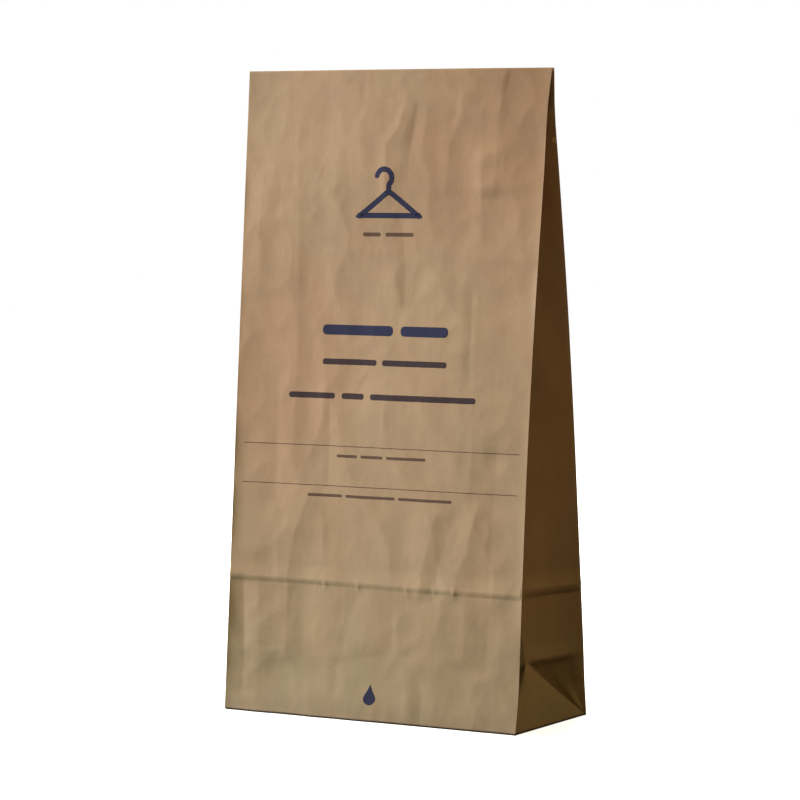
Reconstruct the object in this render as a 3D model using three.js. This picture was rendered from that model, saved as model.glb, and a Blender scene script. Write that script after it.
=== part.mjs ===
// A tall block-bottom bag of brown kraft paper, standing upright with its mouth pressed shut.
//
// Millimetres. The origin is the middle of the flat bottom, +X runs to the right along the front
// panel, +Y to the back and +Z up to the mouth. The bag can't be seen into, so it is one solid:
// a box whose grid of points is moved onto the paper.

import * as THREE from "three";
import { mergeVertices } from "three/addons/utils/BufferGeometryUtils.js";

const { lerp, clamp } = THREE.MathUtils;

// ---- Paper sizes ----
const WIDTH = 300; // front panel, from fold to fold
const DEPTH = 135; // block bottom, front to back
const HEIGHT = 578; // from the flat bottom to the mouth, as the bag stands
const GUSSET = 66.6; // one ply of a side, from its upright fold to the crease down its middle
const LIP = 0.8; // thickness left for one ply where a gusset folds in behind a panel
const CREASE = 0.6; // width of the pressed crease down the middle of a side

// The upright folds, from the bottom up: at each height, how far back the front left and front
// right ones stand, and how deep the side is there. The right ones bow outwards, and the mouth is
// pressed together a little askew.
const UPRIGHTS = [
  [0, -DEPTH / 2, -DEPTH / 2, DEPTH],
  [30, -65.1, -61.9, 126],
  [60, -62.8, -59.4, 121.2],
  [120, -58, -55.4, 111.6],
  [250, -47.8, -45.1, 88.4],
  [370, -38.3, -31.9, 61],
  [500, -28.1, -14.8, 24.6],
  [540, -24.9, -10.6, 14],
  [HEIGHT, -22, -1.4, 3.6],
];

// ---- Creases left by folding the bag flat ----
const TRIANGLE_TOP = 53.5; // apex of the triangle that closes each side at the bottom
const SIDE_CREASE = 56; // level crease across both plies of a side
const FLAT_FOLD = 119.5; // level crease all round, where the bottom was folded up
const FOLD_HEIGHT = 0.9; // how far the crease all round stands out
const SIDE_FOLD_HEIGHT = 0.8; // and the one across the sides
const FOLD_SPREAD = 4.5; // how quickly it fades above and below

// ---- Soft shape of the panels ----
const BELLY = 3; // how far the middle of the back stands out
const MOUTH_EASE = 1.6; // how much further apart the plies are in the middle of the mouth
const BACK_SHARE = 0.7; // the back has the front's soft folds, mirrored and this much as deep

// The front dips left of its middle and bulges at the right of the mouth: where across, how far,
// how wide the slope towards the other side is, and from which height to which it grows.
const FRONT_FORMS = [
  {
    middle: -62,
    height: -3.5,
    reach: 165,
    grows: [
      [0, 45],
      [470, 320],
    ],
  },
  { middle: 45, height: 3.5, reach: 195, grows: [[400, 530]] },
];

// Each soft fold runs up from one point (x, z) to another, stands out by a height, or dips by a
// negative one, and fades over a half width to either side.
const SOFT_FOLDS = [
  { from: [-82, 298], to: [-95, 540], height: 1.3, half: 14 },
  { from: [-7, 488], to: [9, 532], height: 1.1, half: 12 },
  { from: [48, 478], to: [64, 542], height: 1.1, half: 12 },
  { from: [94, 288], to: [89, 373], height: 0.9, half: 13 },
  { from: [14, 372], to: [2, 420], height: -1, half: 12 },
  { from: [-94, 132], to: [-78, 187], height: 1.1, half: 13 },
  { from: [50, 120], to: [72, 184], height: -1.1, half: 13 },
  { from: [-91, 56], to: [-93, 112], height: 0.9, half: 13 },
  { from: [-28, 60], to: [-20, 108], height: 0.9, half: 12 },
];

// ---- Mouth slot ----
const SLOT_DEPTH = 10;

// ---- Grid ----
const COLUMNS = 24; // across a panel
const SIDE_STEPS = [1, 3, 2, 3, 1]; // across a side: lip, near ply, triangle, far ply, lip
const ROWS = SIDE_STEPS.reduce((sum, steps) => sum + steps);
const SLOT_COLUMNS = [6, 18]; // where the slot ends, clear of the gussets' inner creases
const MERGE = 1e-3; // points closer than this are one

const evenly = (from, to, steps) =>
  Array.from({ length: steps }, (_, n) => lerp(from, to, n / steps));
const LEVELS = [
  ...evenly(0, TRIANGLE_TOP, 4),
  TRIANGLE_TOP,
  ...evenly(SIDE_CREASE, FLAT_FOLD - 2 * FOLD_SPREAD, 4),
  ...evenly(FLAT_FOLD - 2 * FOLD_SPREAD, FLAT_FOLD + 2 * FOLD_SPREAD, 4),
  ...evenly(FLAT_FOLD + 2 * FOLD_SPREAD, HEIGHT - 2 * SLOT_DEPTH, 20),
  ...evenly(HEIGHT - 2 * SLOT_DEPTH, HEIGHT, 2),
  HEIGHT,
];

// ---- The four upright folds ----
const uprights = new THREE.CubicInterpolant(
  UPRIGHTS.map(([height]) => height),
  UPRIGHTS.flatMap(([, left, right, depth]) => [left, right, depth]),
  3,
);

// Where the panels stand at a height, on the straight lines between their upright folds; across is
// 0 at the left folds and 1 at the right ones.
function panelsAt(across, z) {
  const [left, right, depth] = uprights.evaluate(clamp(z, 0, HEIGHT));
  const front = lerp(left, right, across);
  return { front, back: front + depth, middle: front + depth / 2, depth };
}

const bump = (distance, spread) => Math.exp(-((distance / spread) ** 2));

// How far a side's middle crease is folded in at a height.
function creaseInset(z) {
  const { depth } = panelsAt(0, Math.max(z, TRIANGLE_TOP));
  const foldedIn = Math.sqrt(GUSSET ** 2 - (depth / 2) ** 2);
  const atBottom = clamp(1 - z / TRIANGLE_TOP, 0, 1);
  const pressedOut = SIDE_FOLD_HEIGHT * bump(z - SIDE_CREASE, FOLD_SPREAD);
  return foldedIn * (1 - atBottom) - pressedOut;
}

// A side's outline at a height, as corners [inset, y] from the front fold round to the back one;
// side is -1 left and 1 right.
function sideCorners(side, z) {
  const inset = creaseInset(z);
  const fold = side < 0 ? 0 : 1;
  const { front, back } = panelsAt(fold, z);
  const { middle } = panelsAt(fold - (side * inset) / WIDTH, z);
  const half = lerp(CREASE / 2, DEPTH / 2 - LIP, clamp(1 - z / TRIANGLE_TOP, 0, 1));
  return [
    [0, front],
    [0, front + LIP],
    [inset, middle - half],
    [inset, middle + half],
    [0, back - LIP],
    [0, back],
  ];
}

// The point on that outline that grid row j takes.
function sidePoint(side, j, z) {
  const corners = sideCorners(side, z);
  let first = 0;
  let step = j;
  while (step > SIDE_STEPS[first]) step -= SIDE_STEPS[first++];
  const share = step / SIDE_STEPS[first];
  const [inset, y] = [0, 1].map((axis) =>
    lerp(corners[first][axis], corners[first + 1][axis], share),
  );
  return { x: side * (WIDTH / 2 - inset), y };
}

// ---- Relief of the front and back panels ----
function softFold({ from, to, height, half }, x, z) {
  const run = [to[0] - from[0], to[1] - from[1]];
  const length = Math.hypot(...run);
  const along = ((x - from[0]) * run[0] + (z - from[1]) * run[1]) / length ** 2;
  if (along < 0 || along > 1) return 0;
  const across = ((x - from[0]) * run[1] - (z - from[1]) * run[0]) / length;
  return height * Math.sin(Math.PI * along) * bump(across, half);
}

function easeIn(share) {
  const t = clamp(share, 0, 1);
  return t * t * (3 - 2 * t);
}

// A broad dip or bulge: a curve from the nearer upright fold to its middle, and a slope beyond.
function frontForm({ middle, height, reach, grows }, x, z) {
  const side = Math.sign(middle);
  const toFold = ((x - middle) * side) / (WIDTH / 2 - side * middle);
  const acrossShare = toFold > 0 ? 1 - toFold ** 2 : 1 - easeIn(((middle - x) * side) / reach);
  const grown = grows.map(([start, full]) => easeIn((z - start) / (full - start)));
  return grown.reduce((share, part) => share * part, height * acrossShare);
}

// How far a panel stands out from the straight lines between its upright folds.
function relief(isFront, x, z) {
  const edge = 1 - Math.abs((2 * x) / WIDTH) ** 4;
  const belly = edge * BELLY * Math.sin((Math.PI * z) / HEIGHT);
  const broad = isFront ? FRONT_FORMS.reduce((sum, form) => sum + frontForm(form, x, z), 0) : belly;
  const lines = SOFT_FOLDS.reduce((sum, fold) => sum + softFold(fold, isFront ? x : -x, z), 0);
  const folds = lines * (isFront ? 1 : BACK_SHARE);
  const ease = isFront ? 0 : MOUTH_EASE * bump(z - HEIGHT, SLOT_DEPTH * 2);
  return broad + edge * (ease + folds) + FOLD_HEIGHT * bump(z - FLAT_FOLD, FOLD_SPREAD);
}

// ---- The paper body ----
// The point of the bag's surface at a share of its width, a row from front to back, and a height.
function bagPoint(across, j, z) {
  const left = sidePoint(-1, j, z);
  const right = sidePoint(1, j, z);
  const x = lerp(left.x, right.x, across);
  const y = lerp(left.y, right.y, across);
  const outward = j === 0 ? -1 : Number(j === ROWS);
  return [x, y + outward * relief(outward < 0, x, z), z];
}

// ---- The mouth: a shallow slot between the front and back plies ----
// Between its ends the slot's first and last rows are the plies' outer and inner edges, the next
// ones its walls' feet, and the others its floor.
function slotPoint(i, j) {
  const atEnd = i === SLOT_COLUMNS[0] || i === SLOT_COLUMNS[1];
  const level = j < 2 || j > ROWS - 2 || atEnd ? HEIGHT : HEIGHT - SLOT_DEPTH;
  const [x, front] = bagPoint(i / COLUMNS, 0, level);
  const [, back] = bagPoint(i / COLUMNS, ROWS, level);
  if (j === 0) return [x, front, level];
  if (j === ROWS) return [x, back, level];
  return [x, lerp(front + LIP, back - LIP, clamp((j - 2) / (ROWS - 4), 0, 1)), level];
}

// Outside the slot each row runs straight from the slot's end to the side's outline.
function mouthPoint(i, j) {
  const [first, last] = SLOT_COLUMNS;
  if (i >= first && i <= last) return slotPoint(i, j);
  const slotEnd = slotPoint(i < first ? first : last, j);
  const border = bagPoint(i < first ? 0 : 1, j, HEIGHT);
  const share = i < first ? i / first : (COLUMNS - i) / (COLUMNS - last);
  return border.map((value, axis) => lerp(value, slotEnd[axis], share));
}

// ---- Closed body: a box's grid points moved onto the bag, and merged where they meet ----
function bagGeometry() {
  const levels = LEVELS.length - 1;
  const box = new THREE.BoxGeometry(COLUMNS, ROWS, levels, COLUMNS, ROWS, levels);
  const points = box.getAttribute("position");
  for (let n = 0; n < points.count; n++) {
    const i = Math.round(points.getX(n) + COLUMNS / 2);
    const j = Math.round(points.getY(n) + ROWS / 2);
    const k = Math.round(points.getZ(n) + levels / 2);
    points.setXYZ(n, ...(k === levels ? mouthPoint(i, j) : bagPoint(i / COLUMNS, j, LEVELS[k])));
  }
  box.deleteAttribute("normal");
  box.deleteAttribute("uv");
  return withoutSlivers(mergeVertices(box, MERGE));
}

// Leaves out the triangles that have shrunk to a line, where rows or columns of the grid meet.
function withoutSlivers(geometry) {
  const index = geometry.index.array;
  const kept = [];
  for (let n = 0; n < index.length; n += 3) {
    const corners = [index[n], index[n + 1], index[n + 2]];
    if (new Set(corners).size === 3) kept.push(...corners);
  }
  geometry.setIndex(kept);
  geometry.computeVertexNormals();
  return geometry;
}

const kraft = new THREE.MeshStandardMaterial({ color: 0xac8e70, roughness: 0.85, metalness: 0 });
const bag = new THREE.Mesh(bagGeometry(), kraft);
bag.name = "bag";

const group = new THREE.Group();
group.add(bag);

export default group;
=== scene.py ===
"""A tall block-bottom bag of brown kraft paper, standing upright with its mouth pressed shut.

The paper is one sheet. Its outline is worked out level by level from the upright folds of the
solid, a flat grid is laid on that outline, and the print is cut flat and laid on the front panel.
Shapes are worked out in millimetres and turned to metres as each mesh is made.
"""

import math
import random

import bmesh
import bpy
import numpy as np
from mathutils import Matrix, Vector, noise
from mathutils.bvhtree import BVHTree


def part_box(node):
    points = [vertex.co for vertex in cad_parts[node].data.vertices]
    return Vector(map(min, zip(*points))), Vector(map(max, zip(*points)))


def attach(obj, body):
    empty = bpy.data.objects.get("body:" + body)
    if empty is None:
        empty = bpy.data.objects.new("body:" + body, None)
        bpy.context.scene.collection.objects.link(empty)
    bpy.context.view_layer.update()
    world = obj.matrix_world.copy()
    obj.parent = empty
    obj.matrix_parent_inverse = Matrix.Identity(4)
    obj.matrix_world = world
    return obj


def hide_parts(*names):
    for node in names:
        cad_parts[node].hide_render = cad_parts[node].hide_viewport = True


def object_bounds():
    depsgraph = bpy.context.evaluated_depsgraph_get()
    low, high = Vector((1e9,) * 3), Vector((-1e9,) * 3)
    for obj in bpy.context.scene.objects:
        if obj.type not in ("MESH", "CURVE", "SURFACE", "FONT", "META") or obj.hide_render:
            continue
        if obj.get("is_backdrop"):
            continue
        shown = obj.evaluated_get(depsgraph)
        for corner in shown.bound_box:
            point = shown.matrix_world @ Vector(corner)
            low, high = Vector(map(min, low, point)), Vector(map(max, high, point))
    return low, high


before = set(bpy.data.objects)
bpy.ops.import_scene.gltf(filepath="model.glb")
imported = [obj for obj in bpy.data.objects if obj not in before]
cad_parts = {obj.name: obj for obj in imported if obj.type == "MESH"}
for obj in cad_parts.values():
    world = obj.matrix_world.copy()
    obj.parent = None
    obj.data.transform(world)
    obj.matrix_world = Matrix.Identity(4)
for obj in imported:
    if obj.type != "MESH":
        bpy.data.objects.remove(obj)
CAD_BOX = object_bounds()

MM = 0.001

# ---- Paper sizes, in millimetres, as in the solid ----
CORNER_LOW, CORNER_HIGH = (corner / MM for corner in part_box("bag"))
HEIGHT = CORNER_HIGH.z
WIDTH = CORNER_HIGH.x - CORNER_LOW.x
DEPTH = 135  # block bottom, front to back
GUSSET = 66.6  # one ply of a side, from its upright fold to the crease down its middle
CREASE = 0.6  # width of that crease
TRIANGLE_TOP = 53.5  # apex of the triangle that closes each side at the bottom
SIDE_CREASE = 57.0  # level crease across both plies of a side, at the upright folds
SIDE_CREASE_DROP = 3.0  # how much lower it stands at the crease down the side
SIDE_CREASE_REACH = (2.2, 9)  # how far below it and above it the paper swells out
# The crease all round, where the bottom was folded up. Across the front its height changes. On the
# other runs it stands above FLAT_FOLD by so much at the upright fold, and at the crease down a side.
FLAT_FOLD = 119.5
FLAT_FOLD_FRONT = [(-150, 123.2), (-70, 123), (10, 122.3), (100, 122), (150, 121.5)]
FLAT_FOLD_RISE = {"back": (1.6, 1.6), "far": (1.6, -2.2), "near": (2, -2.2), "triangle": (0, 0)}
CREST_OUT = {"panel": 1.1, "side": 1.35}  # how far the paper stands out at that crease
CREST_DROP = {"panel": 5.2, "side": 7.5}  # how far below it the paper has dropped back
CREST_SWELL = 12  # how far above it the paper starts to swell out
NICKS = [-52.5, -18, 33.5, 62, 82]  # where it is broken, on the front
NICK = (1.2, 2.6, 5)  # how far the paper stands out there, and its half widths
BELLY = 3.0  # how far the middle of the back panel stands out
# The front panel dips left of its middle and bulges at the right of the mouth: where across, how
# far, how wide the slope towards the other side is, and from which height to which it grows.
FRONT_DIP = {"x": -72, "height": -4.6, "reach": 165, "grows": [(0, 45), (470, 320)]}
FRONT_BULGE = {"x": 28, "height": 6.6, "reach": 185, "grows": [(400, 530)]}
BACK_FOLLOWS = 0.95  # how much of that bulge the back follows, which keeps the mouth shut
BACK_SOFTER = 0.7  # how high the back's wrinkles are, next to the front's
WEDGE_DIP = 8.0  # how far the paper beside a side's triangle sinks in, down from the level crease
WEDGE_REACH = 34
MOUTH_EASE = 1.6  # how much further apart the plies are in the middle of the mouth
MOUTH_EASE_REACH = 20
PAPER = 0.16  # thickness of the sheet
THINNER = 6  # how near an upright fold the sheet is drawn thinner, to keep its faces from crossing
FOLD_ROUND = 0.5  # how far from an upright fold the paper starts to turn
CREASE_ROUND = 0.25
CLOSING = (400, 520)  # between these heights the sides come to lie between the front and the back
PLY_CLEAR = 0.36  # how far they then stay clear of both
PLY_CLEAR_FROM = 3  # how near an upright fold that distance shrinks to nothing
MOST_INWARD = 0.3  # the share of the bag's depth that a panel's creases may take up inwards
# Painted shade comes on where the sides are pinched too tight for light.
SLIT_SHADE_HEIGHTS = (535, 550)  # between these heights the sides come to be pinched too tight for light
RIM_ROUND = 1.8  # how far the walls' lower edges are rounded over

# ---- Grid ----
# The runs of the outline, going round from the front left fold, each with its columns.
RUNS = [
    ("front", 214),
    ("near", 10),
    ("triangle", 4),
    ("far", 14),
    ("back", 66),
    ("far", 10),
    ("triangle", 4),
    ("near", 10),
]
UPRIGHT = {0, 1, 4, 5}  # the runs that start at an upright fold
FOLD_COLUMNS = 3  # round each fold between two runs
LEVEL_STEP = 2.3
MOUTH_REACH = np.array([0, 2, 6, 14, 30, 50])  # how far down the inside the sheet is made
RECESS = {"z": 0.5, "inset": 2.2}  # the flat of the bottom, which the glued flaps lie on

# ---- The front panel's wrinkles ----
# Each runs up, or to the right, through points (x, z), stands out by a height, or dips by a
# negative one, and fades over a width to its left, or above it, and another to its right.
WRINKLES = [
    # where the folded-in side presses through, on the left
    ([(-91, 364), (-91, 420), (-93, 455), (-95, 500), (-94, 548)], 0.7, 33.5, 11),
    ([(-91, 246), (-91, 300), (-90, 345), (-92, 376)], 0.8, 31, 15.5),
    ([(-93, 108), (-90, 138), (-87, 158), (-82, 172), (-76, 188), (-68, 208)], 1.3, 18, 20.5),
    ([(-93, 42), (-91, 62), (-91.5, 100), (-91, 124)], 0.9, 14.5, 18),
    # and on the right
    ([(93, 418), (91, 460), (90, 505), (88, 552)], 0.5, 11, 18),
    ([(93, 462), (90, 490), (91, 516)], 0.5, 12, 17),
    ([(93, 196), (94, 260), (92, 296)], 0.6, 9.5, 41),
    ([(88, 294), (88, 345), (86, 390)], -0.5, 8.5, 6),
    ([(93, 52), (94, 90), (93, 124)], 0.5, 11, 14.5),
    # from the mouth down to the hanger
    ([(-4, 452), (-4, 490), (-4, 512), (8, 527), (13, 546), (14, 566)], 0.9, 9.5, 18),
    ([(18, 470), (19, 500), (24, 530), (27, 552)], -0.6, 8.5, 12),
    ([(54, 462), (58, 490), (58, 512), (63, 522), (70, 535), (69, 562)], 0.7, 11, 17),
    ([(58, 524), (64, 540), (65, 566)], -0.4, 6, 5),
    ([(-132, 368), (-133, 440), (-130, 496)], 0.7, 19, 31),
    ([(-113, 448), (-111, 490)], -0.5, 12, 17),
    ([(-114, 492), (-104, 472), (-94, 446)], 0.4, 9.5, 7),
    ([(-55, 462), (-53, 516)], 0.5, 14.5, 11),
    ([(-31, 530), (-29, 576)], -0.3, 7, 7),
    ([(7, 552), (9, 584)], 0.5, 11, 14.5),
    ([(110, 550), (113, 584)], -0.5, 13, 11),
    ([(104, 462), (108, 600)], 1.6, 46, 44),
    ([(-63, 556), (-62, 584)], 0.5, 8.5, 15.5),
    # from the hanger down to the rules
    ([(18, 354), (18, 400), (15, 430), (8, 456)], -0.7, 11, 26.5),
    ([(18, 366), (12, 388), (2, 405), (-5, 424), (-6, 450)], 0.6, 14.5, 14.5),
    ([(39, 336), (41, 402)], 0.4, 12, 14.5),
    ([(-79, 222), (-68, 246), (-62, 268), (-61, 300)], 0.5, 17, 12),
    ([(-53, 196), (-54, 245), (-55, 300)], -0.5, 7, 12),
    ([(-107, 182), (-108, 240), (-108, 318)], -0.9, 16, 18),
    # above the flat fold
    ([(-54, 132), (-56, 165), (-60, 192)], 0.5, 11, 7),
    ([(46, 104), (48, 135), (54, 160), (65, 196)], 1.3, 29, 13),
    ([(62, 106), (65, 140), (71, 162), (83, 196)], -0.8, 13, 14.5),
    ([(81, 108), (84, 138), (93, 153), (97, 175), (105, 206)], 1.2, 15.5, 25),
    ([(116, 40), (118, 250)], -1.3, 44, 33),
    # between the flat fold and the bottom
    ([(-86, 94), (-86, 120)], -0.3, 5, 5),
    ([(-31, 54), (-29, 85), (-18, 108), (-14, 124)], -0.6, 21.5, 15.5),
    ([(-10, 56), (-7, 90), (-4, 120)], 0.7, 17, 23),
    ([(20, 56), (20, 106)], -0.4, 14.5, 6),
    ([(71, 86), (68, 124)], 0.4, 8.5, 11),
    ([(-48, 48), (-22, 52), (0, 58), (22, 61), (50, 60)], -0.7, 11, 18),
    ([(-144, 58), (-92, 61)], -0.3, 4, 4),
    ([(-138, 127), (-136, 90), (-133, 50), (-134, 8)], -2.4, 16, 44),
    ([(-149, 16), (-122, 38), (-95, 62)], 0.45, 16, 16),
    ([(-37, 12), (-37, 40), (-39, 58)], -0.5, 9.5, 11),
    ([(38, -6), (38, 25), (32, 54)], 0.5, 9.5, 11),
    ([(54, -8), (52, 25), (48, 52)], -0.7, 11, 15.5),
    ([(5, -8), (4, 22)], 0.5, 8.5, 7),
    ([(14, -8), (13, 26)], -0.5, 8.5, 9.5),
    ([(104, -6), (110, 20), (121, 44)], 0.7, 14.5, 14.5),
]
TAPER = 14  # how far from its ends a wrinkle reaches its full height
SMALL_CREASES = 70  # short ones, drawn at random
SEED = 11
# How the paper cockles: how far, over patches how wide and how tall, and which random values.
PANEL_COCKLES = [(0.2, 22, 50, 5.3), (0.5, 70, 140, 2.1)]
SIDE_COCKLES = [(0.7, 26, 70, 8.8), (0.3, 9, 30, 1.4)]


# ---- Shared arithmetic ----
def lerp(a, b, share):
    return a + (b - a) * share


def bump(distance, spread):
    return np.exp(-((distance / spread) ** 2))


def lopsided_bump(distance, before, after):
    return bump(distance, np.where(distance < 0, before, after))


def ease_in(share):
    share = np.clip(share, 0, 1)
    return share * share * (3 - 2 * share)


def grown(z, reach):
    """0 at the first height of the two, and 1 from the second on."""
    return ease_in((z - reach[0]) / (reach[1] - reach[0]))


def tent(share):
    """1 at a sharp crest, down to 0 where share is 1."""
    return np.clip(1 - share, 0, 1) ** 1.35


def unit(vectors):
    return vectors / np.maximum(np.linalg.norm(vectors, axis=-1, keepdims=True), 1e-9)


def cloud(x, z, wide, tall, shift):
    """Smooth random values from about -1 to 1, with patches that are so wide and so tall."""
    grain = np.broadcast_arrays(x / wide, z / tall)
    values = [noise.noise((u, v, shift)) for u, v in zip(grain[0].flat, grain[1].flat)]
    return 2 * np.array(values).reshape(grain[0].shape)


def smooth_through(knots, values, at):
    """A smooth curve through values at knots, read at other places."""
    slopes = np.gradient(values, knots)
    k = np.clip(np.searchsorted(knots, at, side="right") - 1, 0, len(knots) - 2)
    span = knots[k + 1] - knots[k]
    t = (at - knots[k]) / span
    rise = values[k + 1] - values[k]
    ease = t * t * (3 - 2 * t)
    bend = span * (slopes[k] * t * (1 - t) ** 2 - slopes[k + 1] * t * t * (1 - t))
    return values[k] + rise * ease + bend


# ---- The upright folds, read off the solid ----
CREASE_ZONE = 12  # how near the crease all round the solid's folds step out with it


def upright_folds(solid):
    """Heights, and at each how far back the left and right front folds and the back ones stand."""
    points = np.array([v.co for v in solid.data.vertices]) / MM
    heights = np.round(points[:, 2], 1)
    clear_of_crease = np.abs(heights - FLAT_FOLD) > CREASE_ZONE
    on_fold = (np.abs(points[:, 0]) > WIDTH / 2 - 0.01) & clear_of_crease
    knots = np.unique(heights[on_fold])
    folds = []
    for height in knots:
        level = on_fold & (heights == height)
        left = points[level & (points[:, 0] < 0), 1]
        right = points[level & (points[:, 0] > 0), 1]
        folds.append((left.min(), right.min(), left.max(), right.max()))
    return knots, np.array(folds).T


FOLD_KNOTS, FOLD_VALUES = upright_folds(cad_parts["bag"])


def folds_at(z):
    return [smooth_through(FOLD_KNOTS, values, np.asarray(z, float)) for values in FOLD_VALUES]


# ---- Relief ----
def wrinkle(x, z, points, height, left, right):
    """Height of a soft crease that runs through points; left and right are its half widths."""
    points = np.array(points, float)
    lengths = np.hypot(*np.diff(points, axis=0).T)
    nearest = np.full(x.shape, np.inf)
    across = np.zeros(x.shape)
    along = np.zeros(x.shape)
    passed = 0.0
    for start, end, length in zip(points, points[1:], lengths):
        run = (end - start) / length
        share = np.clip((x - start[0]) * run[0] + (z - start[1]) * run[1], 0, length)
        off_x = x - start[0] - share * run[0]
        off_z = z - start[1] - share * run[1]
        distance = np.hypot(off_x, off_z)
        nearer = distance < nearest
        nearest = np.where(nearer, distance, nearest)
        side = np.sign(off_x * run[1] - off_z * run[0])
        across = np.where(nearer, side * distance, across)
        along = np.where(nearer, passed + share, along)
        passed += length
    fade = ease_in(np.minimum(along, passed - along) / TAPER)
    width = np.where(across < 0, left, right)
    return height * fade * tent(np.abs(across) / width)


def small_creases(seed):
    """Short soft creases at random places, most of them upright, as handling leaves them."""
    draw = random.Random(seed)
    for _ in range(SMALL_CREASES):
        x, z = draw.uniform(-145, 145), draw.uniform(5, HEIGHT - 30)
        length, lean = draw.uniform(12, 45), draw.gauss(0, 0.45)
        height = draw.choice((-1, 1)) * draw.uniform(0.05, 0.16)
        points = [(x, z), (x + lean * length, z + length)]
        yield points, height, draw.uniform(2.5, 6), draw.uniform(2.5, 6)


def nicks():
    """Short creases across the crease all round, where it is broken."""
    for x in NICKS:
        yield [(x + 2, FLAT_FOLD - 10), (x - 1, FLAT_FOLD + 8)], *NICK


def flat_fold(below_crest, strength, drop):
    """The crease all round: the paper swells down to it, and drops back within a length under it."""
    under = 1 - np.clip(below_crest / drop, 0, 1) ** 2
    over = tent(np.clip(-below_crest, 0, None) / CREST_SWELL)
    return strength * under * over


def crest_height(kind, share, x):
    """How high the crease all round stands, on each run of the outline."""
    if kind == "front":
        return np.interp(x, *zip(*FLAT_FOLD_FRONT))
    return FLAT_FOLD + lerp(*FLAT_FOLD_RISE[kind], share) + 0 * x


def broad_form(across, z, x, height, reach, grows):
    """A broad dip or bulge: a curve from the nearer upright fold to x, and a slope beyond x."""
    side = math.copysign(1, x)
    to_fold = 1 - ((across - x) / (side * WIDTH / 2 - x)) ** 2
    beyond = 1 - ease_in((x - across) * side / reach)
    share = np.where((across - x) * side > 0, to_fold, beyond)
    for reach_up in grows:
        share = share * grown(z, reach_up)
    return height * share


def crumple(x, z, size, shift):
    """Small sharp creases all over, from about 0 down to -1, where the paper was handled."""
    return -np.abs(cloud(x, z, size, 1.15 * size, shift))


def cockles(x, z, parts, sign=1):
    """The paper's uneven rise and fall; sign turns it into other random values."""
    return sum(height * cloud(x, z, wide, tall, sign * shift) for height, wide, tall, shift in parts)


def panel_swell(x, z, front):
    """The broad forms of a panel."""
    if front:
        return broad_form(x, z, **FRONT_DIP) + broad_form(x, z, **FRONT_BULGE)
    swell = BELLY * np.sin(np.pi * z / HEIGHT) + MOUTH_EASE * bump(z - HEIGHT, MOUTH_EASE_REACH)
    swell = swell * (1 - np.abs(2 * x / WIDTH) ** 4)
    return swell - BACK_FOLLOWS * broad_form(x, z, **FRONT_BULGE)


def panel_creases(x, z, front):
    """A panel's wrinkles and small creases; the back has the front's wrinkles, turned round."""
    sign = 1 if front else -1
    creases = sum(wrinkle(sign * x, z, *crease) for crease in WRINKLES)
    if not front:
        creases = BACK_SOFTER * creases
    creases = creases + sum(wrinkle(x, z, *crease) for crease in small_creases(SEED + front))
    creases = 0.85 * creases * (1 + 0.35 * cloud(x, z, 40, 26, 9.1 * sign))
    if front:
        creases = creases + sum(wrinkle(x, z, *nick) for nick in nicks())
    return creases


def panel_crumples(x, z, sign):
    """A panel's crumpling: small, tiny where it was handled most, and large on a slant."""
    handled = 0.5 + 0.5 * cloud(x, z, 50, 70, 7.7 * sign)
    crumples = 0.34 * crumple(x, z, 26, 3.1 * sign) + 0.1 * crumple(x, z, 10, 6.2 * sign) * handled
    return crumples + 1.1 * crumple(x + 0.4 * z, z, 60, 4.9 * sign)


def panel_relief(x, z, front):
    """How far a panel stands out from the straight lines between its upright folds."""
    sign = 1 if front else -1
    edge = 1 - np.abs(2 * x / WIDTH) ** 30
    fine = panel_creases(x, z, front) + cockles(x, z, PANEL_COCKLES, sign) + panel_crumples(x, z, sign)
    toe = 0.5 * bump(z, 3.5) * np.clip(0.5 - x / 200, 0, 1)
    fine = edge * (fine + toe)
    room = MOST_INWARD * (straight_y(x, z, False) - straight_y(x, z, True))
    fine = np.maximum(fine, room * np.tanh(fine / room))
    crest = crest_height("front" if front else "back", 0, x)
    strength = CREST_OUT["panel"] + 0.3 * cloud(x, 0 * z, 26, 1, 6.4 * sign)
    return panel_swell(x, z, front) + fine + flat_fold(crest - z, strength, CREST_DROP["panel"])


def straight_y(x, z, front):
    """How far back the straight line between the upright folds of the front, or the back, is."""
    left, right = folds_at(z)[:2] if front else folds_at(z)[2:]
    return lerp(left, right, x / WIDTH + 0.5)


def panel_y(x, z, front):
    """How far back a panel's outer face is."""
    return straight_y(x, z, front) - panel_relief(x, z, front) * (1 if front else -1)


def between_panels(points, z):
    """Keeps a side's ply between the front and the back where they come together at the mouth."""
    x, y = points.T
    front = straight_y(x, z, True)
    share = (y - front) / (straight_y(x, z, False) - front)
    outer, inner = panel_y(x, z, True), panel_y(x, z, False)
    clear = PLY_CLEAR * np.clip((WIDTH / 2 - np.abs(x)) / PLY_CLEAR_FROM, 0, 1)
    kept = np.clip(lerp(outer, inner, share), outer + clear, inner - clear)
    return np.stack([x, lerp(y, kept, grown(z, CLOSING))], axis=-1)


def side_relief(share, z, gap, far):
    """How far a ply of a side stands out; share is 0 at its upright fold and 1 at its crease."""
    uneven = np.sin(np.pi * share) * cockles(share * GUSSET, z, SIDE_COCKLES)
    uneven = uneven * np.clip(gap / 12, 0, 1)
    to_crease = np.clip(6 * (1 - share), 0, 1)
    below = SIDE_CREASE - SIDE_CREASE_DROP * share - z
    level_crease = lopsided_bump(-below, *SIDE_CREASE_REACH) * np.clip(3 * share, 0, 1) * to_crease
    sunk = WEDGE_DIP * (1 - np.exp(-np.clip(below, 0, None) / WEDGE_REACH))
    wide = share * GUSSET * np.clip(z / TRIANGLE_TOP, 0, 1)
    sunk = np.minimum(sunk * ease_in(share / 0.25), 0.5 * wide)
    crest = crest_height("far" if far else "near", share, 0 * z)
    ridge = flat_fold(crest - z, CREST_OUT["side"], CREST_DROP["side"]) * to_crease
    return uneven - sunk + level_crease + ridge


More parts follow.
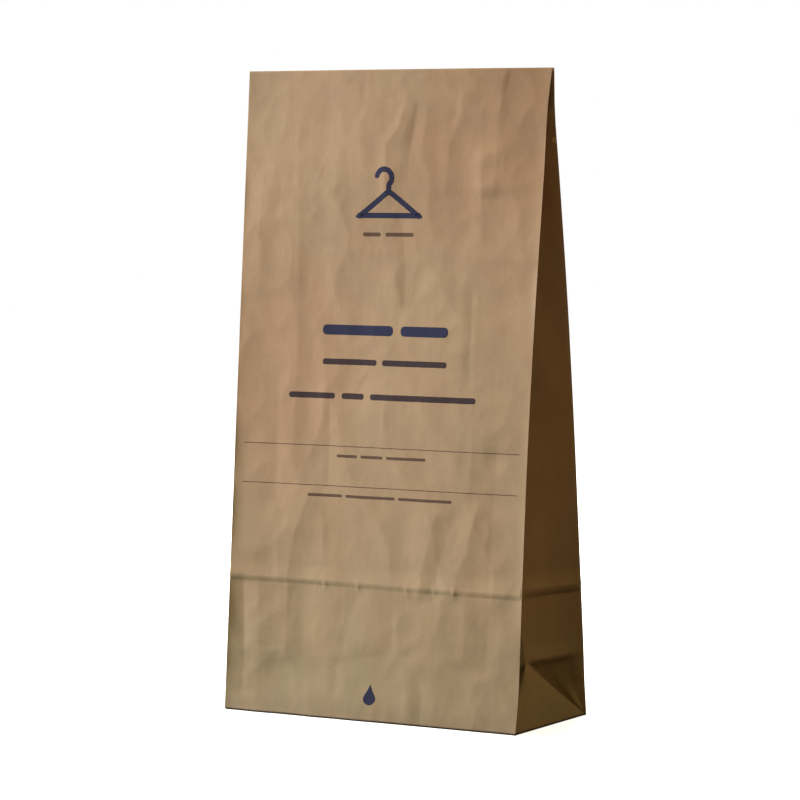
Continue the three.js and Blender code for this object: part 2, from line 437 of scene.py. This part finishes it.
# ---- The outline of the paper ----
def side_corners(side, z, folds):
    """One side's corners: front fold, near and far edge of its crease or triangle, back fold."""
    left_front, right_front, left_back, right_back = folds
    at_bottom = np.clip(1 - z / TRIANGLE_TOP, 0, 1)
    top_folds = folds_at(np.maximum(z, TRIANGLE_TOP))
    depth = top_folds[2] - top_folds[0]
    inset = np.sqrt(GUSSET**2 - (depth / 2) ** 2) * (1 - at_bottom)
    across = 0.5 + side * (0.5 - inset / WIDTH)
    middle = (lerp(left_front, right_front, across) + lerp(left_back, right_back, across)) / 2
    front, back = (left_front, left_back) if side < 0 else (right_front, right_back)
    half = lerp(CREASE / 2, (back - front) / 2, at_bottom)
    x_fold = np.full(z.shape, side * WIDTH / 2)
    x_crease = side * (WIDTH / 2 - inset)
    return [(x_fold, front), (x_crease, middle - half), (x_crease, middle + half), (x_fold, back)]


def outline_corners(z):
    folds = folds_at(z)
    right = side_corners(1, z, folds)
    left = side_corners(-1, z, folds)
    around = [left[0], *right, left[3], left[2], left[1]]
    return [np.stack(corner, axis=-1) for corner in around]


def turn_of(corners, c, most):
    """Where the paper starts and stops turning round corner c."""
    corner, before, after = corners[c], corners[c - 1], corners[(c + 1) % len(corners)]
    shortest = np.minimum(
        np.linalg.norm(before - corner, axis=-1), np.linalg.norm(after - corner, axis=-1)
    )
    reach = np.minimum(most, 0.45 * shortest)[:, None]
    return corner + reach * unit(before - corner), corner + reach * unit(after - corner)


def run_relief(kind, share, points, z, gap):
    if kind in ("front", "back"):
        return panel_relief(points[:, 0], z, kind == "front")
    if kind == "triangle":
        return np.zeros(z.shape)
    return side_relief(share, z, gap, kind == "far")


def outer_columns(z):
    """The paper's outer face, as (column, level, xy), how much each is rubbed lighter, partly real
    rubbing and partly a painted highlight, and how much painted shade it has in the narrow slit at the
    mouth.
    """
    corners = outline_corners(z)
    rounds = [FOLD_ROUND if c in UPRIGHT else CREASE_ROUND for c in range(len(corners))]
    turns = [turn_of(corners, c, most) for c, most in enumerate(rounds)]
    # Painted shade in the narrow slit near the mouth, where the sides lie pinched between the panels.
    slit_shade_rise = grown(z, SLIT_SHADE_HEIGHTS)
    columns, wear_and_highlight, slit_shade = [], [], []
    for c, (kind, steps) in enumerate(RUNS):
        start, end = turns[c]
        for t in np.arange(FOLD_COLUMNS) / FOLD_COLUMNS:
            point = (1 - t) ** 2 * start + 2 * t * (1 - t) * corners[c] + t * t * end
            columns.append(point if c in UPRIGHT else between_panels(point, z))
            wear_and_highlight.append(np.full(z.shape, 1.0 if c in UPRIGHT else 0.5))
            slit_shade.append(0.5 * slit_shade_rise)
        stop = turns[(c + 1) % len(RUNS)][0]
        straight = unit(stop - end)
        outward = np.stack([straight[:, 1], -straight[:, 0]], axis=-1)
        for s in np.arange(steps) / steps:
            point = lerp(end, stop, s)
            from_fold = s if RUNS[c - 1][0] in ("front", "back") else 1 - s
            gap = np.abs(corners[4][:, 1] - corners[1][:, 1]) * (1 - from_fold)
            relief = run_relief(kind, from_fold, point, z, gap)
            point = point + relief[:, None] * outward
            columns.append(point if kind in ("front", "back") else between_panels(point, z))
            wear_and_highlight.append(0.5 * bump(z - crest_height(kind, from_fold, point[:, 0]), 1.2))
            slit_shade.append(slit_shade_rise * (kind in ("near", "far", "triangle")))
    return [np.array([*kept, kept[0]]) for kept in (columns, wear_and_highlight, slit_shade)]


def paper_surface(z, sunk, rim):
    """The paper's face, as (column, level, xyz), how much each is rubbed lighter, partly real rubbing and
    partly a painted highlight, and how much painted shade it has in the narrow slit at the mouth.

    At each level, sunk is how far the face lies behind the outer one, and rim is how far in from
    the walls the rectangle of the bottom has drawn.
    """
    flat, wear_and_highlight, slit_shade = outer_columns(z)
    around = np.roll(flat[:-1], -1, axis=0) - np.roll(flat[:-1], 1, axis=0)
    inward = unit(np.stack([-around[..., 1], around[..., 0]], axis=-1))
    thin = np.clip((WIDTH / 2 - np.abs(flat[..., :1])) / THINNER, 0.1, 1)
    flat = flat + np.concatenate([inward, inward[:1]]) * sunk[:, None] * thin
    flat = flat * (1 - np.stack([2 * rim / WIDTH, 2 * rim / DEPTH], axis=-1))
    heights = np.broadcast_to(z, flat.shape[:2])[..., None]
    return np.concatenate([flat, heights], axis=-1), wear_and_highlight, slit_shade


def paper_levels():
    """Heights of the grid's rows, closer together at the creases and at both ends."""
    dense = [
        np.array([0, 0.1, 0.35, 0.8, 1.4, 2.6, 4, 6.5, 9.5]),
        SIDE_CREASE + np.array([-7, -4.5, -2.5, 0, 2.5, 5, 8]),
        FLAT_FOLD + np.arange(-9, 14, 1.0),
        HEIGHT - np.array([0, 1.5, 4, 8]),
    ]
    fixed = np.concatenate([np.sort(part) for part in dense])
    levels = [fixed[:1]]
    for low, high in zip(fixed, fixed[1:]):
        steps = max(1, round((high - low) / LEVEL_STEP))
        levels.append(np.linspace(low, high, steps + 1)[1:])
    return np.concatenate(levels)


# ---- Making meshes ----
def add_object(name, bm, materials):
    mesh = bpy.data.meshes.new(name)
    bm.to_mesh(mesh)
    bm.free()
    for material in materials:
        mesh.materials.append(material)
    made = bpy.data.objects.new(name, mesh)
    bpy.context.scene.collection.objects.link(made)
    return made


def smooth(bm):
    for face in bm.faces:
        face.smooth = True


def make_paper(material):
    """The bag: a flat grid laid up the outside, over the mouth's edge and down inside it."""
    outside = paper_levels()
    levels = np.concatenate([[RECESS["z"]], outside, HEIGHT - MOUTH_REACH])
    rim = RIM_ROUND * (1 - np.sqrt(1 - np.clip(1 - outside / RIM_ROUND, 0, 1) ** 2))
    sunk = np.where(np.arange(len(levels)) > len(outside), PAPER, 0)
    rim = np.concatenate([[RECESS["inset"]], rim, 0 * MOUTH_REACH])
    points, wear_and_highlight, slit_shade = paper_surface(levels, sunk, rim)
    across, up = points.shape[0] - 1, points.shape[1] - 1
    bm = bmesh.new()
    wear_highlight_layer = bm.verts.layers.float.new("wear_and_highlight")
    dark = bm.verts.layers.float.new("slit_shade")
    bmesh.ops.create_grid(bm, x_segments=across, y_segments=up, size=0.5)
    for vert in bm.verts:
        i = round((vert.co.x + 0.5) * across)
        k = round((vert.co.y + 0.5) * up)
        vert.co = Vector(points[i, k]) * MM
        vert[wear_highlight_layer] = wear_and_highlight[i, k]
        vert[dark] = slit_shade[i, k]
    bmesh.ops.remove_doubles(bm, verts=bm.verts, dist=0.01 * MM)
    smooth(bm)
    ends = [edge for edge in bm.edges if edge.is_boundary]
    bmesh.ops.edgeloop_fill(bm, edges=ends)
    bmesh.ops.recalc_face_normals(bm, faces=bm.faces)
    return add_object("kraft_paper_bag", bm, [material])


# ---- Glued parts that the photo doesn't show ----
LAP = {"edge": -46, "reach": 60}  # the sheet's glued edge down the back, and how far the lap shows
LAP_STANDS = (PAPER + 0.06, -0.12)  # how far behind the panel it stands, at its edge and its end
LAP_THICK = 0.2
# The bottom's glued flaps: from which side, how deep, how far up the outer face is, how thick.
FLAPS = [(1, 70, 0.3, 0.18), (-1, 82, 0.06, 0.2)]
FLAP_INSET = 1.6  # how far in from the walls the flaps start


def slab(bm, faces, along):
    """Thickens flat faces."""
    made = bmesh.ops.extrude_face_region(bm, geom=faces)
    moved = [part for part in made["geom"] if isinstance(part, bmesh.types.BMVert)]
    bmesh.ops.translate(bm, verts=moved, vec=along)
    bmesh.ops.recalc_face_normals(bm, faces=bm.faces)


def make_lap(paper, material):
    """The outer ply of the seam down the back, which runs out smoothly away from its edge."""
    tree = BVHTree.FromPolygons(
        [vert.co for vert in paper.data.vertices], [face.vertices for face in paper.data.polygons]
    )
    bm = bmesh.new()
    start, end = LAP["edge"], LAP["edge"] + LAP["reach"]
    flat_face(bm, [(start, 1), (end, 1), (end, HEIGHT - 0.5), (start, HEIGHT - 0.5)])
    diced(bm)
    for vert in bm.verts:
        x, z = vert.co.x, vert.co.z
        behind = Vector((x * MM, 1.0, z * MM))
        on_paper = tree.ray_cast(behind, Vector((0, -1, 0)))[0]
        vert.co.y = on_paper.y / MM + lerp(*LAP_STANDS, (x - start) / LAP["reach"])
    slab(bm, bm.faces[:], (0, -LAP_THICK, 0))
    bmesh.ops.scale(bm, verts=bm.verts, vec=(MM, MM, MM))
    smooth(bm)
    return add_object("back_lap", bm, [material])


def make_flaps(material):
    """The two flaps, glued over each other, that close the block bottom."""
    bm = bmesh.new()
    half = WIDTH / 2 - FLAP_INSET
    for side, deep, lift, thick in FLAPS:
        fold = side * (DEPTH / 2 - FLAP_INSET)
        free = fold - side * deep
        corners = [(-half, fold), (half, fold), (half - deep, free), (deep - half, free)]
        verts = [bm.verts.new((x, y, lift)) for x, y in corners]
        faces = bmesh.ops.contextual_create(bm, geom=verts)["faces"]
        slab(bm, faces, (0, 0, thick))
    bmesh.ops.scale(bm, verts=bm.verts, vec=(MM, MM, MM))
    return add_object("bottom_flaps", bm, [material])


# ---- The print ----
INK_ABOVE = 0.07  # how far the ink stands clear of the paper
INK_THICK = 0.03
DICE = 2.5  # side of the squares that a printed shape is cut into, so that it follows the paper
RULES = [242.3, 206.7]
RULE_HALF = 141.5
RULE_THICK = 0.62
# The hook's turns: 1 to the right or -1 to the left, how far in degrees, and the radius.
HANGER = {
    "half": 36.5,
    "foot": 446,
    "shoulder": 473,
    "stroke": 4.8,
    "turns": [(1, 42, 4.4), (-1, 225, 7.6)],
}
# Word-long bars: height of the middle of the line, thickness, and where each bar starts and ends.
TITLE_BARS = [(346.0, 9.0, [(-65, 8), (16, 65)])]
TEXT_BARS = [
    (317.5, 5.2, [(-64, -8), (-2, 65)]),
    (287.0, 5.2, [(-97, -50), (-43, -20), (-13, 96)]),
]
CAPTION_BARS = [
    (431.5, 3.4, [(-26, -8), (-3, 25)]),
    (233.6, 2.5, [(-45, -24), (-20, 3), (7, 47)]),
    (198.0, 2.5, [(-73, -38), (-34, 17), (21, 76)]),
]
DROP = {"z": 21, "radius": 6.2}


def flat_face(bm, corners):
    return bmesh.ops.contextual_create(bm, geom=[bm.verts.new((x, 0, z)) for x, z in corners])["faces"][0]


def rounded(bm, verts, radius, segments):
    bmesh.ops.bevel(
        bm, geom=verts, offset=radius, segments=segments, profile=0.5, affect="VERTICES", material=-1
    )


def bar(bm, z, thick, start, end):
    low, high = z - thick / 2, z + thick / 2
    face = flat_face(bm, [(start, low), (end, low), (end, high), (start, high)])
    rounded(bm, face.verts[:], thick * 0.42, 4)


def hanger(bm, half, foot, shoulder, stroke, turns):
    """A coat hanger: a ring of a triangle with rounded corners, and a hook above it."""
    face = flat_face(bm, [(-half, foot), (half, foot), (0, shoulder)])
    rounded(bm, face.verts[:], stroke * 1.1, 6)
    body = bm.faces[:]
    bmesh.ops.inset_region(
        bm, faces=body, thickness=stroke, use_boundary=True, use_even_offset=True
    )
    bmesh.ops.delete(bm, geom=body, context="FACES_ONLY")
    neck = shoulder - stroke
    ends = [bm.verts.new((x, 0, neck)) for x in (-stroke / 2, stroke / 2)]
    tip = [bm.edges.new(ends)]
    made = bmesh.ops.extrude_edge_only(bm, edges=tip)["geom"]
    tip_verts = [part for part in made if isinstance(part, bmesh.types.BMVert)]
    bmesh.ops.translate(bm, verts=tip_verts, vec=(0, 0, stroke + 1))
    for side, degrees, radius in turns:
        tip = [part for part in made if isinstance(part, bmesh.types.BMEdge) and part.is_boundary]
        tip = [edge for edge in tip if all(vert in tip_verts for vert in edge.verts)]
        ends = sorted((vert.co.copy() for vert in tip[0].verts), key=lambda co: co.x)
        middle = (ends[0] + ends[1]) / 2
        centre = middle + side * radius * (ends[1] - ends[0]).normalized()
        made = bmesh.ops.spin(
            bm, geom=tip, cent=centre, axis=(0, 1, 0), dvec=(0, 0, 0),
            angle=math.radians(side * degrees), steps=16, use_merge=False,
        )["geom_last"]
        tip_verts = [part for part in made if isinstance(part, bmesh.types.BMVert)]
    rounded(bm, tip_verts, stroke * 0.45, 4)


def drop(bm, z, radius):
    made = bmesh.ops.create_circle(bm, cap_ends=True, segments=28, radius=radius)
    for vert in made["verts"]:
        x, height = vert.co.x, vert.co.y
        lift = max(0.0, height / radius)
        vert.co = (x * (1 - 0.8 * lift**1.4), 0, z + height * (1 + 0.9 * lift))


def diced(bm):
    """Cuts flat shapes into small squares along x and z."""
    for axis in (Vector((1, 0, 0)), Vector((0, 0, 1))):
        reach = [vert.co.dot(axis) for vert in bm.verts]
        for place in np.arange(min(reach) + DICE, max(reach), DICE):
            geom = bm.verts[:] + bm.edges[:] + bm.faces[:]
            bmesh.ops.bisect_plane(bm, geom=geom, plane_co=axis * place, plane_no=axis)


def lay_on_front(bm):
    x = np.array([vert.co.x for vert in bm.verts])
    z = np.array([vert.co.z for vert in bm.verts])
    for vert, y in zip(bm.verts, panel_y(x, z, True)):
        vert.co.y = y - INK_ABOVE
    made = bmesh.ops.extrude_face_region(bm, geom=bm.faces[:])
    lifted = [part for part in made["geom"] if isinstance(part, bmesh.types.BMVert)]
    bmesh.ops.translate(bm, verts=lifted, vec=(0, -INK_THICK, 0))
    bmesh.ops.recalc_face_normals(bm, faces=bm.faces)
    bmesh.ops.scale(bm, verts=bm.verts, vec=(MM, MM, MM))


def printed(name, material, draw):
    bm = bmesh.new()
    draw(bm)
    diced(bm)
    lay_on_front(bm)
    return add_object(name, bm, [material])


def make_print(ink, text_ink, line_ink):
    def bars(bm, lines):
        for z, thick, spans in lines:
            for start, end in spans:
                bar(bm, z, thick, start, end)

    def rules(bm):
        for z in RULES:
            low, high = z - RULE_THICK / 2, z + RULE_THICK / 2
            flat_face(bm, [(-RULE_HALF, low), (RULE_HALF, low), (RULE_HALF, high), (-RULE_HALF, high)])

    return [
        printed("printed_title", ink, lambda bm: bars(bm, TITLE_BARS)),
        printed("printed_text", text_ink, lambda bm: bars(bm, TEXT_BARS)),
        printed("printed_captions", line_ink, lambda bm: bars(bm, CAPTION_BARS)),
        printed("printed_rules", line_ink, rules),
        printed("printed_hanger", ink, lambda bm: hanger(bm, **HANGER)),
        printed("printed_drop", ink, lambda bm: drop(bm, **DROP)),
    ]


# ---- Materials ----
KRAFT = (0.427, 0.292, 0.175, 1)
REDDER_KRAFT = (0.452, 0.283, 0.168, 1)
# Painted warm light cast: where the paper is painted a little redder, standing in for warm light falling
# there; the middle of each such part, and how far it reaches.
WARM_LIGHT_PATCHES = [((-130, -40, 320), 150), ((120, -30, 500), 150)]
FLECK = (0.16, 0.09, 0.05, 1)
# Rubbed lighter: partly the paper's real wear, partly a painted highlight where the folds catch the
# light.
RUBBED_AND_HIGHLIGHT = (0.55, 0.4, 0.27, 1)  # on the folds, and on the crest of the crease all round
# Painted shade at the foot: the paper is tinted darker and greener there, standing in for less key light
# and a greenish floor bounce. Painted contact shadow on the lower edge. Each comes after the heights in
# millimetres where it fades out.
FOOT_SHADE_HEIGHTS, FOOT_SHADE_TINT = (10, 150), (0.905, 0.975, 0.96, 1)
CONTACT_SHADOW_HEIGHTS, CONTACT_SHADOW_TINT = (1.1, 2.4), (0.12, 0.11, 0.08, 1)
# Painted shade where the sides lie pinched between the panels and no light gets in.
SLIT_SHADE_TINT = (0.1, 0.08, 0.06, 1)  # where the sides are pinched between the panels
# Both ends are darker: between these heights it comes on, and at the top more so to the right. At the top
# this is painted shade, where the paper leans away from the light.
SOLE, HEAD_SHADE_HEIGHTS, HEAD_SHADE_ACROSS = (2, 30), (490, 580), (20, 120)
END_DARKER = 0.09
HEAD_SHADE_MORE = 2.1


class Graph:
    """Adds nodes to a tree and links them; values that are sockets are linked, others are set."""

    def __init__(self, tree):
        self.tree = tree

    def add(self, kind, inputs=(), **settings):
        node = self.tree.nodes.new("ShaderNode" + kind)
        for name, value in settings.items():
            setattr(node, name, value)
        for name, value in dict(inputs).items():
            if isinstance(value, bpy.types.NodeSocket):
                self.tree.links.new(value, node.inputs[name])
            else:
                node.inputs[name].default_value = value
        return node

    def math(self, operation, a, b=0.0, c=0.0):
        return self.add("Math", {0: a, 1: b, 2: c}, operation=operation).outputs["Value"]

    def noise(self, place, size, detail=2.0, roughness=0.5):
        """Noise from 0 to 1 whose patches have that size along x, y and z, in millimetres."""
        scale = [1 / (length * MM) for length in size]
        mapped = self.add("Mapping", {"Vector": place, "Scale": scale}).outputs["Vector"]
        inputs = {"Vector": mapped, "Scale": 1.0, "Detail": detail, "Roughness": roughness}
        return self.add("TexNoise", inputs).outputs["Fac"]

    def vary(self, value, noise, amount):
        """The value with noise added, turned to run from minus to plus half the amount."""
        return self.math("MULTIPLY_ADD", self.math("SUBTRACT", noise, 0.5), amount, value)

    def between(self, value, low, high, to_low, to_high):
        inputs = {"Value": value, "From Min": low, "From Max": high, "To Min": to_low, "To Max": to_high}
        return self.add("MapRange", inputs, interpolation_type="SMOOTHSTEP").outputs["Result"]

    def along(self, distance, reach, to_start, to_end):
        """Changes smoothly between two distances in millimetres."""
        return self.between(distance, reach[0] * MM, reach[1] * MM, to_start, to_end)

    def mix(self, share, a, b, blend="MIX"):
        node = self.add("Mix", {0: share, 6: a, 7: b}, data_type="RGBA", blend_type=blend)
        return node.outputs[2]


def new_group(name, strengths, outputs):
    """An empty node group whose inputs are strengths, each 1 unless a material sets it."""
    tree = bpy.data.node_groups.new(name, "ShaderNodeTree")
    for strength in strengths:
        socket = tree.interface.new_socket(strength, in_out="INPUT", socket_type="NodeSocketFloat")
        socket.default_value = 1.0
    for output in outputs:
        tree.interface.new_socket(output, in_out="OUTPUT", socket_type="NodeSocketFloat")
    entry = tree.nodes.new("NodeGroupInput")
    leave = tree.nodes.new("NodeGroupOutput")
    return tree, entry.outputs, leave.inputs


def paper_grain():
    """Kraft paper's grain: upright fibres, soft clouds and flecks, as a tone round 1 and a height."""
    strengths = ["Fibres", "Clouds", "Flecks"]
    tree, given, out = new_group("paper_grain", strengths, ["Tone", "Warmth", "Flecks", "Height"])
    g = Graph(tree)
    place = g.add("TexCoord").outputs["Object"]
    clouds = g.noise(place, (34, 34, 52), 3.0)
    streaks = g.noise(place, (4, 4, 22), 2.0)
    fibres = g.noise(place, (1.0, 1.0, 2.6), 3.0, 0.65)
    tooth = g.noise(place, (0.5, 0.5, 0.7), 2.0, 0.6)
    soft = g.math("MULTIPLY_ADD", g.vary(0.0, clouds, 0.26), given["Clouds"], 1.0)
    soft = g.vary(soft, g.noise(place, (9, 9, 13), 2.0), 0.1)
    lines = g.vary(g.vary(g.vary(0.0, streaks, 0.1), fibres, 0.2), tooth, 0.12)
    tone = g.math("MULTIPLY_ADD", lines, given["Fibres"], soft)
    g.tree.links.new(tone, out["Tone"])
    g.tree.links.new(g.noise(place, (60, 60, 90), 2.0), out["Warmth"])
    specks = g.noise(place, (1.3, 1.3, 2.6), 1.0)
    dark = g.between(specks, 0.24, 0.3, 1.0, 0.0)
    g.tree.links.new(g.math("MULTIPLY", dark, given["Flecks"]), out["Flecks"])
    height = g.math("MULTIPLY_ADD", streaks, 0.3, g.math("MULTIPLY_ADD", fibres, 0.25, tooth))
    g.tree.links.new(height, out["Height"])
    return tree


def paper_material(name, grain, fibres, relief, gloss):
    """A new material with the paper's grain and relief: itself, its graph, grain and shader."""
    material = bpy.data.materials.new(name)
    material.use_nodes = True
    g = Graph(material.node_tree)
    shader = material.node_tree.nodes["Principled BSDF"].inputs
    group = g.add("Group", {}, node_tree=grain)
    group.inputs["Fibres"].default_value = fibres
    shader["Specular IOR Level"].default_value = gloss
    bumps = {"Height": group.outputs["Height"], "Strength": relief, "Distance": 0.1 * MM}
    g.tree.links.new(g.add("Bump", bumps).outputs["Normal"], shader["Normal"])
    return material, g, group.outputs, shader


def kraft_material(grain):
    material, g, paper, shader = paper_material("kraft", grain, fibres=1.0, relief=0.55, gloss=0.35)
    place = g.add("TexCoord").outputs["Object"]
    across, _, height = g.add("SeparateXYZ", {"Vector": place}).outputs
    # The grain's random warmth, plus the painted warm light cast of the patches.
    redder_tone_and_warm_light = g.between(paper["Warmth"], 0.35, 0.65, 0.0, 0.5)
    for centre, reach in WARM_LIGHT_PATCHES:
        ends = {0: place, 1: Vector(centre) * MM}
        away = g.add("VectorMath", ends, operation="DISTANCE").outputs["Value"]
        redder_tone_and_warm_light = g.math("ADD", redder_tone_and_warm_light, g.along(away, (0.3 * reach, reach), 0.7, 0.0))
    colour = g.mix(g.math("MINIMUM", redder_tone_and_warm_light, 1.0), KRAFT, REDDER_KRAFT)
    # Painted shade at the foot, darker and greener, standing in for less key light and a greenish floor
    # bounce.
    colour = g.mix(g.along(height, FOOT_SHADE_HEIGHTS, 1.0, 0.0), colour, FOOT_SHADE_TINT, "MULTIPLY")
    # Darker towards the floor, and painted shade at the top, stronger to the right.
    sole = g.along(height, SOLE, END_DARKER, 0.0)
    head_shade = g.along(height, HEAD_SHADE_HEIGHTS, 0.0, END_DARKER)
    head_shade = g.math("MULTIPLY", head_shade, g.along(across, HEAD_SHADE_ACROSS, 1.0, HEAD_SHADE_MORE))
    tone = g.math("SUBTRACT", paper["Tone"], g.math("ADD", sole, head_shade))
    colour = g.add("VectorMath", {0: colour, "Scale": tone}, operation="SCALE").outputs[0]
    colour = g.mix(g.math("MULTIPLY", paper["Flecks"], 0.25), colour, FLECK)
    # Lighter on the folds and the crease's crest: partly real wear, partly a painted highlight where they
    # catch the light.
    wear_and_highlight = g.add("Attribute", attribute_name="wear_and_highlight").outputs["Fac"]
    colour = g.mix(g.math("MULTIPLY", wear_and_highlight, 0.3), colour, RUBBED_AND_HIGHLIGHT)
    # Painted shade in the slit near the mouth, where the sides are pinched.
    slit_shade = g.add("Attribute", attribute_name="slit_shade").outputs["Fac"]
    colour = g.mix(g.math("MULTIPLY", slit_shade, 0.6), colour, SLIT_SHADE_TINT, "MULTIPLY")
    # Painted contact shadow along the lower edge.
    colour = g.mix(g.along(height, CONTACT_SHADOW_HEIGHTS, 0.9, 0.0), colour, CONTACT_SHADOW_TINT, "MULTIPLY")
    g.tree.links.new(colour, shader["Base Color"])
    g.tree.links.new(g.math("MULTIPLY_ADD", paper["Tone"], 0.3, 0.48), shader["Roughness"])
    return material


def ink_material(name, colour, grain):
    """Ink that has sunk into the paper, so the fibres show through it."""
    material, g, paper, shader = paper_material(name, grain, fibres=1.6, relief=0.5, gloss=0.2)
    toned = g.add("VectorMath", {0: colour, "Scale": paper["Tone"]}, operation="SCALE").outputs[0]
    g.tree.links.new(toned, shader["Base Color"])
    shader["Roughness"].default_value = 0.8
    return material


# ---- Stage, in metres ----
# Where the photo was taken from, and how far the camera was turned left and down, in radians.
CAMERA = {"place": (1.58102, -2.72791, 0.4953), "left": 0.526549, "down": 0.0673611}
LENS, SENSOR = 158.355, 36  # in millimetres
# Lights: azimuth, 0 in front of the bag and 90 at its right, elevation, distance, size and watts.
LIGHTS = [
    ("key", -59, 22, 3.4, 1.1, 172, (0.985, 1.0, 1.0)),
    ("warm_fill", 44, 20, 2.6, 1.2, 4, (1.0, 0.4, 0.16)),
    ("top_fill", 62, 66, 2.4, 0.9, 17, (1.0, 0.86, 0.42)),
    ("back", 205, 40, 2.6, 1.4, 75, (1.0, 0.98, 0.95)),
]
LIT_HEIGHT = 0.3  # what the lights are aimed at
ROOM = {"colour": (1, 0.62, 0.32, 1), "strength": 0.024}  # the faint light from all round
FLOOR_HALF = 6
# The floor glows for the camera, more so away from the bag.
GLOW_REACH, GLOW = (0.25, 1.3), (0.8, 1.1)
# The light it throws back has one colour near the bag and another away from it, fades out towards
# the side away from the key light, and is missing close round the bag.
TINT_REACH = (0.12, 0.45)
NEAR_TINT, FAR_TINT = (0.1, 0.34, 0.17, 1), (0.17, 0.17, 0.11, 1)
SHADED_WAY, SHADED_REACH = (0.85, 0.5, 0), (-0.1, 0.3)
SHADED_LEFT = 0.04
DARK_ROUND = 0.09


def link_data(name, data):
    made = bpy.data.objects.new(name, data)
    bpy.context.scene.collection.objects.link(made)
    return made


def face_along(made, ahead):
    made.rotation_euler = ahead.to_track_quat("-Z", "Y").to_euler()


def add_camera(place, left, down):
    data = bpy.data.cameras.new("camera")
    data.sensor_width = SENSOR
    data.lens = LENS
    made = link_data("camera", data)
    made.location = place
    level = math.cos(down)
    face_along(made, Vector((-math.sin(left) * level, math.cos(left) * level, -math.sin(down))))
    bpy.context.scene.camera = made


def add_light(name, azimuth, elevation, distance, size, watts, colour):
    """A soft square light, aimed at the middle of the bag."""
    a, e = math.radians(azimuth), math.radians(elevation)
    data = bpy.data.lights.new(name, "AREA")
    data.size = size
    data.energy = watts
    data.color = colour
    made = link_data(name, data)
    made.location = (
        distance * math.sin(a) * math.cos(e),
        -distance * math.cos(a) * math.cos(e),
        LIT_HEIGHT + distance * math.sin(e),
    )
    face_along(made, Vector((0, 0, LIT_HEIGHT)) - made.location)


def show_camera(tree, seen, otherwise, end):
    """The camera sees one shader, and the other is what lights the scene."""
    path = tree.nodes.new("ShaderNodeLightPath")
    mix = tree.nodes.new("ShaderNodeMixShader")
    tree.links.new(path.outputs["Is Camera Ray"], mix.inputs["Fac"])
    tree.links.new(otherwise.outputs[0], mix.inputs[1])
    tree.links.new(seen.outputs[0], mix.inputs[2])
    tree.links.new(mix.outputs["Shader"], tree.nodes[end].inputs["Surface"])


def add_world():
    """White where the camera looks past the floor, and almost dark for everything else."""
    world = bpy.data.worlds.new("studio")
    bpy.context.scene.world = world
    world.use_nodes = True
    white = world.node_tree.nodes["Background"]
    white.inputs["Color"].default_value = (1, 1, 1, 1)
    white.inputs["Strength"].default_value = 1
    dim = world.node_tree.nodes.new("ShaderNodeBackground")
    dim.inputs["Color"].default_value = ROOM["colour"]
    dim.inputs["Strength"].default_value = ROOM["strength"]
    show_camera(world.node_tree, white, dim, "World Output")


def floor_material():
    """A pale floor that the camera sees bright, and that throws little light back on the bag."""
    material = bpy.data.materials.new("studio_floor")
    material.use_nodes = True
    g = Graph(material.node_tree)
    pale = g.tree.nodes["Principled BSDF"]
    pale.inputs["Base Color"].default_value = (0.9, 0.9, 0.9, 1)
    pale.inputs["Roughness"].default_value = 0.9
    pale.inputs["Emission Color"].default_value = (1, 1, 1, 1)
    place = g.add("TexCoord").outputs["Object"]
    away = g.add("VectorMath", {0: place}, operation="LENGTH").outputs["Value"]
    g.tree.links.new(g.between(away, *GLOW_REACH, *GLOW), pale.inputs["Emission Strength"])
    tint = g.mix(g.between(away, *TINT_REACH, 0.0, 1.0), NEAR_TINT, FAR_TINT)
    along = g.add("VectorMath", {0: place, 1: SHADED_WAY}, operation="DOT_PRODUCT").outputs["Value"]
    lit = g.between(along, *SHADED_REACH, 1.0, SHADED_LEFT)
    across, back, _ = g.add("SeparateXYZ", {"Vector": place}).outputs
    beside = [
        g.math("SUBTRACT", g.math("ABSOLUTE", away_along), size / 2 * MM)
        for away_along, size in ((across, WIDTH), (back, DEPTH))
    ]
    clear = g.between(g.math("MAXIMUM", *beside), 0.0, DARK_ROUND, 0.0, 1.0)
    dim = g.add("Emission", {"Color": tint, "Strength": g.math("MULTIPLY", lit, clear)})
    show_camera(g.tree, pale, dim, "Material Output")
    return material


def add_floor():
    bm = bmesh.new()
    bmesh.ops.create_grid(bm, x_segments=1, y_segments=1, size=FLOOR_HALF)
    add_object("floor", bm, [floor_material()])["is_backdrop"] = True


add_camera(**CAMERA)
add_world()
add_floor()
for light in LIGHTS:
    add_light(*light)
bpy.context.scene.view_settings.view_transform = "Standard"

grain = paper_grain()
kraft = kraft_material(grain)
navy = ink_material("navy_ink", (0.029, 0.031, 0.074), grain)
plum = ink_material("plum_ink", (0.054, 0.034, 0.038), grain)
brown = ink_material("brown_ink", (0.13, 0.078, 0.054), grain)

bag = make_paper(kraft)
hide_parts("bag")
for piece in [bag, make_lap(bag, kraft), make_flaps(kraft), *make_print(navy, plum, brown)]:
    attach(piece, "root")

boxes = {"cad": CAD_BOX, "visual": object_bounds()}
{name: [list(corner) for corner in box] for name, box in boxes.items()}
